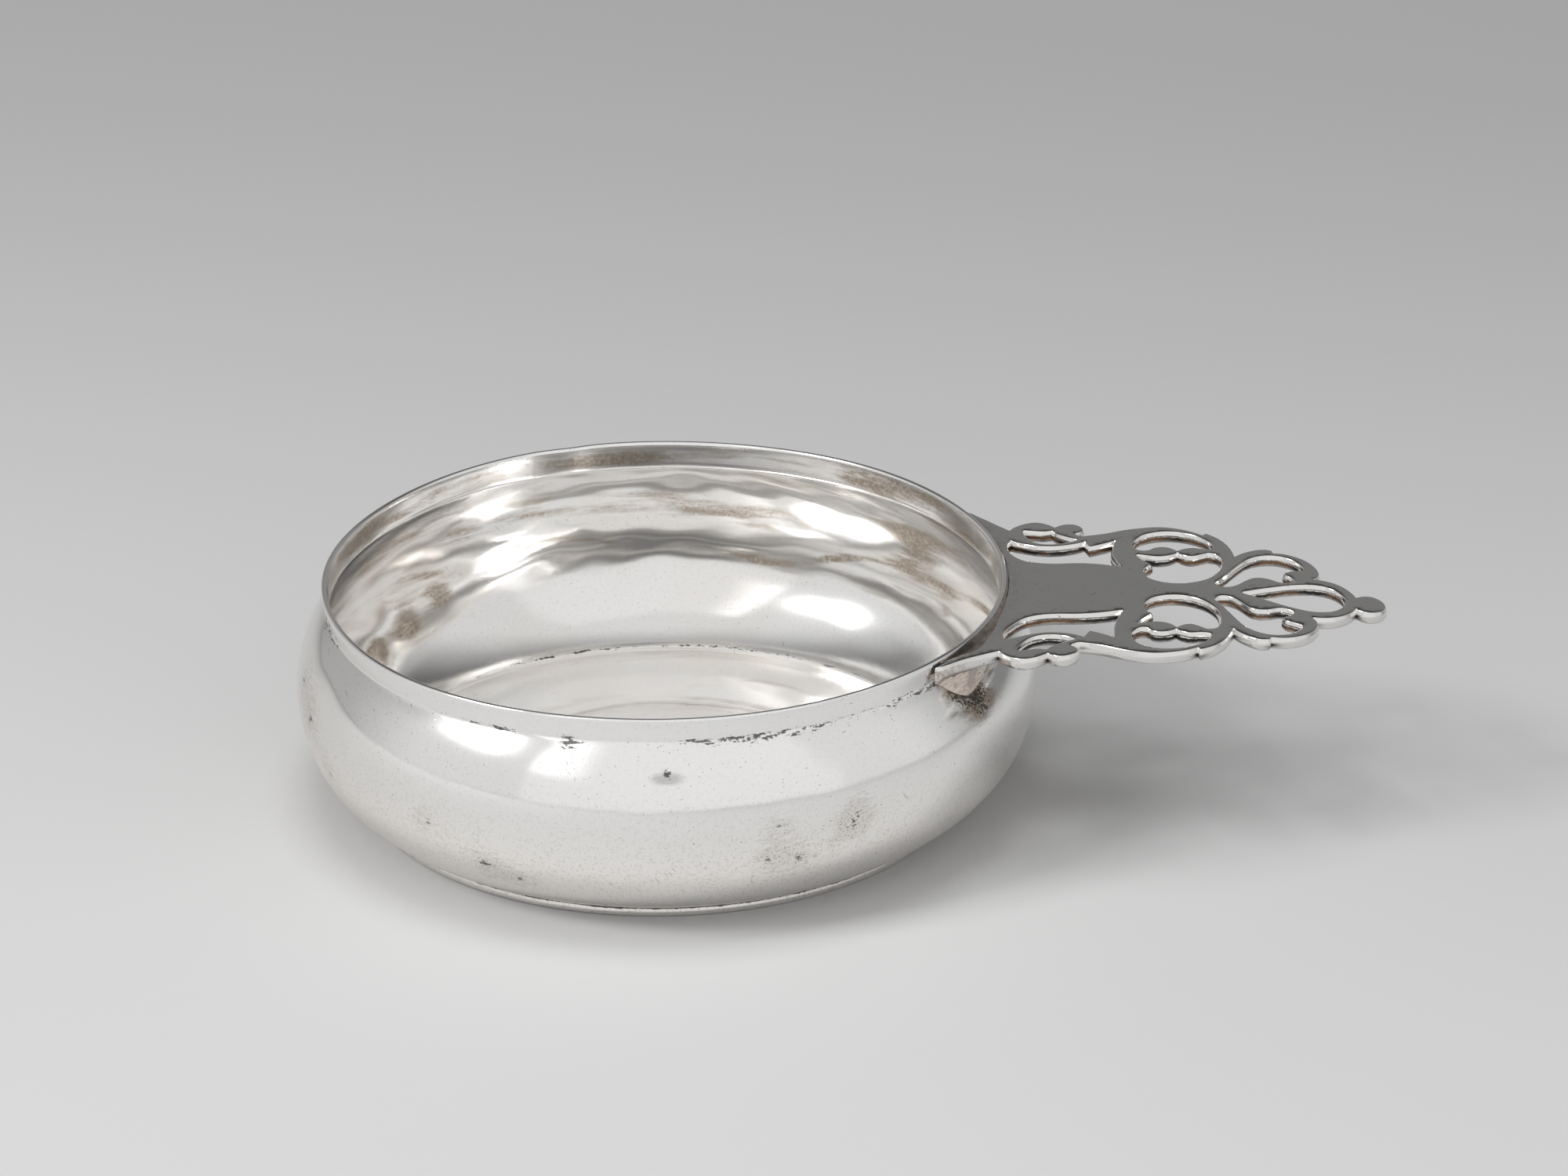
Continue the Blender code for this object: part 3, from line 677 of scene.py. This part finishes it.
# Deep in the piercings and in the nooks of the outline the tarnish and the painted shade are strongest; the
# underside gets a little less
sheltered_tarnish_and_shade = np.where(outer, 0.10 + 0.9 * np.exp(-(clearance(rim_points, corners) / 1.5) ** 2), 1.0)
tarnish_and_shade_shelter_marks = np.zeros(len(points))
for first in (0, count, *(2 * count + rim_count * row for row in range(WALL_ROWS))):
    tarnish_and_shade_shelter_marks[first:first + rim_count] = sheltered_tarnish_and_shade
tarnish_and_shade_shelter_marks[count + rim_count:2 * count] = 0.8
mark(handle_mesh, "tarnish_and_shade_shelter", tarnish_and_shade_shelter_marks)
near_bowl = 1 - step_up(np.hypot(points[:, 0] - AXIS_X, points[:, 1]), RIM_RADIUS, RIM_RADIUS + 5.0)
mark(handle_mesh, "near_bowl", near_bowl)

FILED_SILVER = (0.86, 0.85, 0.83, 1)
HAIRLINE_GREY = (0.30, 0.28, 0.26, 1)
ROOT_BROWN = (0.40, 0.29, 0.20, 1)
WALL_BLACK_TARNISH_AND_SHADE = (0.030, 0.027, 0.025, 1)
WALL_BROWN = (0.20, 0.115, 0.065, 1)

shader, place, marked = new_finish(handle, "filed_cast_silver")
down, tarnish_and_shade_shelter, beside_bowl = marked("wall_share"), marked("tarnish_and_shade_shelter"), marked("near_bowl")
fine_cloud = place.cloud(900.0, 4.0, 0.65)
patches = place.cloud(130.0, 3.0)
specks = place.grains(600.0).rise(0.14, 0.06) * place.grains(600.0, "Color").rise(0.58, 0.62)
hairlines = scratches(place, 1000.0, 0.34)
ragged = down + (fine_cloud - 0.5) * 0.30 + (patches - 0.5) * 0.35
# Tarnish and painted shade together: the lower parts of the walls, the piercings, the nooks and the
# underside are painted black and brown, a little lighter again at the very foot
wall_tarnish_and_shade = ragged.rise(0.38, 0.50) * (1 - 0.6 * ragged.rise(0.70, 0.95)) * tarnish_and_shade_shelter
on_wall = down.rise(0.12, 0.25)
root_brown = beside_bowl * (0.25 + 0.75 * on_wall) * fine_cloud.rise(0.36, 0.62) * 0.8
wall_tarnish_and_shade_colour = patches.rise(0.40, 0.60).blend(WALL_BLACK_TARNISH_AND_SHADE, WALL_BROWN)
colour = root_brown.blend(FILED_SILVER, ROOT_BROWN)
colour = (0.55 * hairlines).blend(colour, HAIRLINE_GREY)
colour = wall_tarnish_and_shade.blend(colour, wall_tarnish_and_shade_colour)
black = specks * 0.7
colour = black.blend(colour, BLACK_DIRT)
gloss = 0.10 + 0.06 * patches + 0.20 * black + 0.22 * wall_tarnish_and_shade + 0.10 * hairlines + 0.10 * root_brown
relief = place.cloud(420.0, 3.0) * 0.2 - hairlines * 0.3 - black * 0.7 + fine_cloud * wall_tarnish_and_shade * 0.8
normal = relief.node("ShaderNodeBump", {}, {"Strength": 0.3, "Distance": RELIEF_DEPTH, "Height": relief})
connect(shader, {"Base Color": colour, "Metallic": 1 - 0.5 * black - 0.25 * wall_tarnish_and_shade, "Roughness": gloss,
                 "Normal": normal})


# Solder at the rim
# Silver solder run into the corner between the handle's top and the rim band: a thin hollow seam, wider
# towards the near end of the root, dull, brown and pitted.

SEAM_ANGLE = 31.5
SEAM_STEPS = 180
SECTION_POINTS = 12
SEAM_TURNS = (-31.5, -29.0, -26.0, -24.0, -18.0, -12.0, -5.0, 0.0, 31.5)
SEAM_WIDTHS = (0.9, 1.7, 2.6, 2.7, 1.8, 1.0, 0.4, 0.3, 0.3)
SOLDER_BEIGE = (0.80, 0.71, 0.65, 1)
SOLDER_BROWN = (0.44, 0.34, 0.26, 1)
seam_turn = np.radians(np.linspace(-SEAM_ANGLE, SEAM_ANGLE, SEAM_STEPS))[:, None]


def swept_seam(name, section_r, section_z):
    """Closed body: a closed section carried round the bowl's axis, drawn to a point at both ends."""
    steps, corners = section_r.shape
    x, y = AXIS_X + section_r * np.cos(seam_turn), section_r * np.sin(seam_turn)
    points = np.stack((x, y, section_z), axis=-1)
    ends = points[[0, -1]].mean(axis=1)
    points = np.vstack((points.reshape(-1, 3), ends)) * MM
    ring = np.arange(steps * corners).reshape(steps, corners)
    after = np.roll(ring, -1, axis=1)
    quads = np.stack((ring[:-1], after[:-1], after[1:], ring[1:]), axis=-1).reshape(-1, 4)
    first = np.full(corners, len(points) - 2)
    caps = np.vstack((np.column_stack((first, after[0], ring[0])),
                      np.column_stack((first + 1, ring[-1], after[-1]))))
    mesh = bpy.data.meshes.new(name)
    mesh.from_pydata(points.tolist(), [], quads.tolist() + caps.tolist())
    return mesh


draws = np.random.default_rng(5)
lumps = courses(seam_turn, np.zeros((1, 1)), draws, 14, (8, 60), (5.0, 9.0))
ends = 1 - (np.abs(seam_turn) / math.radians(SEAM_ANGLE)) ** 8
seam_width = (np.interp(np.degrees(seam_turn), SEAM_TURNS, SEAM_WIDTHS) + 0.06 * lumps) * ends + 0.05
seam_height = (0.35 + 0.12 * seam_width + 0.03 * lumps) * ends + 0.03
t = np.linspace(0.0, 1.0, SECTION_POINTS)[None, :]
curve_r = RIM_RADIUS - 0.05 + seam_width * t
curve_z = PLATE_TOP + 0.02 + seam_height * (1 - t) ** 2.2
base_r = np.hstack((RIM_RADIUS + seam_width - 0.1, np.full_like(seam_width, RIM_RADIUS - 0.35)))
base_z = np.full_like(base_r, PLATE_TOP - 0.15)
seam_mesh = swept_seam("rim_seam_run", np.hstack((curve_r, base_r)), np.hstack((curve_z, base_z)))
seam = finished("rim_seam_run", seam_mesh, "rim_solder_seam")


def solder_finish(piece, name):
    """Dull silver solder, browned and blackened in streaks that follow the rim."""
    marks = np.array([corner.co for corner in piece.data.vertices]) / MM
    away = np.hypot(marks[:, 0] - AXIS_X, marks[:, 1])
    mark(piece.data, "round_bowl", np.arctan2(marks[:, 1], marks[:, 0] - AXIS_X) * RIM_RADIUS)
    mark(piece.data, "across_joint", away - marks[:, 2])
    shader, place, marked = new_finish(piece, name)
    round_bowl, across_joint = marked("round_bowl"), marked("across_joint")
    drawn = place.node("ShaderNodeCombineXYZ", {}, {0: 0.5 * round_bowl, 1: 2.2 * across_joint})
    streaks = drawn.cloud(1.0, 5.0, 0.65)
    fine_cloud = place.cloud(900.0, 4.0, 0.65)
    black = (streaks * 0.6 + fine_cloud * 0.4).rise(0.585, 0.68)
    colour = (streaks * 0.7 + fine_cloud * 0.3).rise(0.42, 0.66).blend(SOLDER_BEIGE, SOLDER_BROWN)
    colour = black.blend(colour, BLACK_DIRT)
    relief = streaks * 0.35 + fine_cloud * 0.2 - black * 0.3
    normal = relief.node("ShaderNodeBump", {},
                         {"Strength": 0.4, "Distance": 2 * RELIEF_DEPTH, "Height": relief})
    connect(shader, {"Base Color": colour, "Metallic": 1 - 0.6 * black, "Roughness": 0.24 + 0.3 * black,
                     "Normal": normal})


solder_finish(seam, "pitted_solder_seam")


# Solder under the root
# A fillet of the same solder in the wedge between the bowl's shoulder and the thickened underside of the
# handle's root, where it flowed unevenly and dirt has gathered since.

FILLET_ANGLE = 32.0
FILLET_TURNS = (0.0, 15.0, 20.0, 24.0, 26.8, 28.5, 30.6, 32.0)
FILLET_REACHES = (2.6, 2.6, 2.8, 3.2, 3.2, 2.8, 2.1, 1.4)
FILLET_BACK = 0.4
seam_turn = np.radians(np.linspace(-FILLET_ANGLE, FILLET_ANGLE, SEAM_STEPS))[:, None]
lumps = courses(seam_turn, np.zeros((1, 1)), draws, 14, (8, 70), (5.0, 9.0))
ends = 1 - (np.abs(seam_turn) / math.radians(FILLET_ANGLE)) ** 24
shoulder = profile[lip_row:][profile[lip_row:, 1] < NECK[1]]
shoulder = shoulder[:np.argmax(shoulder[:, 0])]
reach = np.interp(np.abs(np.degrees(seam_turn)), FILLET_TURNS, FILLET_REACHES)
bare_end = step_up(np.abs(np.degrees(seam_turn)), 17.0, 24.0)
reach = (reach + (0.3 - 0.15 * bare_end) * lumps) * ends + 0.1
on_shoulder_r = NECK[0] + reach
on_shoulder_z = np.interp(on_shoulder_r, shoulder[:, 0], shoulder[:, 1])
root_slope = np.maximum(reach / ROOT_TAPER, 0.8 * bare_end * ends)
on_root_z = ROOT_LEVEL + (PLATE_TOP - PLATE - ROOT_LEVEL) * root_slope
fall = on_root_z * (1 - t) + on_shoulder_z * t
hollowed = (0.9 - 0.75 * bare_end) * ends * np.sin(math.pi * t) * (reach / 2.7)
curve_r = on_shoulder_r - hollowed
back_r = np.full((SEAM_STEPS, 2), NECK[0] - FILLET_BACK)
back_z = np.tile((ROOT_LEVEL - 0.5, ROOT_LEVEL + 0.1), (SEAM_STEPS, 1))
fillet_mesh = swept_seam("root_fillet_run", np.hstack((curve_r, back_r)), np.hstack((fall, back_z)))
fillet = finished("root_fillet_run", fillet_mesh, "root_solder_fillet")
solder_finish(fillet, "pitted_solder_fillet")


# Stage
# A seamless pale paper floor with painted shade that darkens it away from the camera, a soft lamp high on
# the left, a larger one overhead that the silver doesn't mirror, and a studio that is bright behind the
# camera and dark overhead and behind the object.

FLOOR_HALF = 4.0
PAPER_NEAR = (0.67, 0.67, 0.67, 1)
PAPER_FAR_PAINTED_SHADE = (0.430, 0.430, 0.430, 1)
floor_mesh = bpy.data.meshes.new("floor_paper")
corners = [(-FLOOR_HALF, -FLOOR_HALF, 0), (FLOOR_HALF, -FLOOR_HALF, 0), (FLOOR_HALF, FLOOR_HALF, 0),
           (-FLOOR_HALF, FLOOR_HALF, 0)]
floor_mesh.from_pydata(corners, [], [(0, 1, 2, 3)])
floor = bpy.data.objects.new("floor_paper", floor_mesh)
bpy.context.scene.collection.objects.link(floor)
shader, place, marked = new_finish(floor, "pale_paper_painted_shade")
painted_shade_depth = place.node("ShaderNodeSeparateXYZ", {}, {0: place}, "Y")
# Painted shade: the paper's colour darkens from near to far, standing in for the light falling off
colour = painted_shade_depth.rise(-0.22, 0.50).blend(PAPER_NEAR, PAPER_FAR_PAINTED_SHADE)
connect(shader, {"Base Color": colour, "Roughness": 0.9, "Specular IOR Level": 0.0})


def add_lamp(name, width, height, power, turn, rise, distance, mirrored=True):
    """A rectangular soft lamp that looks at the bowl from a direction given in degrees."""
    data = bpy.data.lights.new(name, "AREA")
    data.shape = "RECTANGLE"
    data.size, data.size_y, data.energy = width, height, power
    lamp = bpy.data.objects.new(name, data)
    lamp.visible_glossy = mirrored
    bpy.context.scene.collection.objects.link(lamp)
    turn, rise = math.radians(turn), math.radians(rise)
    towards = Vector((math.cos(turn) * math.cos(rise), math.sin(turn) * math.cos(rise), math.sin(rise)))
    lamp.location = towards * distance + Vector((AXIS_X * MM, 0, 0))
    lamp.rotation_mode = "QUATERNION"
    lamp.rotation_quaternion = towards.to_track_quat("Z", "Y")


add_lamp("side_softbox", width=0.60, height=0.45, power=16.0, turn=-150.0, rise=41.0, distance=2.0)
add_lamp("top_softbox", width=0.8, height=0.8, power=9.0, turn=-150.0, rise=89.0, distance=1.8,
         mirrored=False)

world = bpy.data.worlds.new("studio")
bpy.context.scene.world = world
world.use_nodes = True
tree = world.node_tree
sky = Finish(tree, tree.nodes.new("ShaderNodeTexCoord").outputs["Generated"])
east, north, height = (sky.node("ShaderNodeSeparateXYZ", {}, {0: sky}, axis) for axis in "XYZ")
towards_camera = east * 0.13 - north * 0.99
turned, raised = sky.maths("ARCTAN2", north, east), sky.maths("ARCSINE", height)


def between(value, low, high, soft):
    """1 between two limits, falling to 0 over a soft border outside each."""
    return value.rise(low - soft, low) * value.rise(high + soft, high)


# The studio's brightness by direction: the open side behind the camera, a bright panel there with a hot
# end at the left, and low light from the sides, more of it from the left
ROOM, OPEN_SIDE, PANEL, HOT_END = 0.03, 0.66, 0.10, 0.45
SEEN_GREY = 0.45
front = towards_camera.rise(-0.50, 0.20)
low = height.rise(0.62, 0.45)
panel = between(turned, -2.16, -0.54, 0.03) * raised.rise(1.20, 1.10)
hot_end = turned.rise(-1.80, -2.08) * panel * raised.rise(0.38, 0.55)
beside = (0.17 + 0.20 * east.rise(-0.35, -0.85)) * low * (1 - front)
glow = ROOM + OPEN_SIDE * front + beside + PANEL * panel + HOT_END * hot_end
seen = sky.node("ShaderNodeLightPath", {}, {}, "Is Camera Ray")
strength = glow * (1 - seen) + SEEN_GREY * seen
background = tree.nodes["Background"]
background.inputs["Color"].default_value = (1, 1, 1, 1)
tree.links.new(strength.socket, background.inputs["Strength"])

# The camera: where it stands in millimetres, its heading and pitch in degrees and its roll in radians
STAND = (AXIS_X + 125.9, -956.2, 474.9)
HEADING, PITCH = -6.13, 24.22
ROLL = -0.0056
LENS = 126.0
SENSOR_WIDTH = 36.0
camera_data = bpy.data.cameras.new("camera")
camera_data.sensor_fit = "HORIZONTAL"
camera_data.sensor_width = SENSOR_WIDTH
camera_data.lens = LENS
camera = bpy.data.objects.new("camera", camera_data)
bpy.context.scene.collection.objects.link(camera)
heading, pitch = math.radians(HEADING), math.radians(PITCH)
ahead = Vector((math.sin(heading) * math.cos(pitch), math.cos(heading) * math.cos(pitch), -math.sin(pitch)))
level_right = Vector((math.cos(heading), -math.sin(heading), 0))
level_above = level_right.cross(ahead)
right = level_right * math.cos(ROLL) + level_above * math.sin(ROLL)
above = level_above * math.cos(ROLL) - level_right * math.sin(ROLL)
turned_camera = Matrix((right, above, -ahead)).transposed().to_4x4()
camera.matrix_world = Matrix.Translation(Vector(STAND) * MM) @ turned_camera
camera_data.clip_start, camera_data.clip_end = 0.05, 30.0
bpy.context.scene.camera = camera
bpy.context.scene.view_settings.view_transform = "Standard"
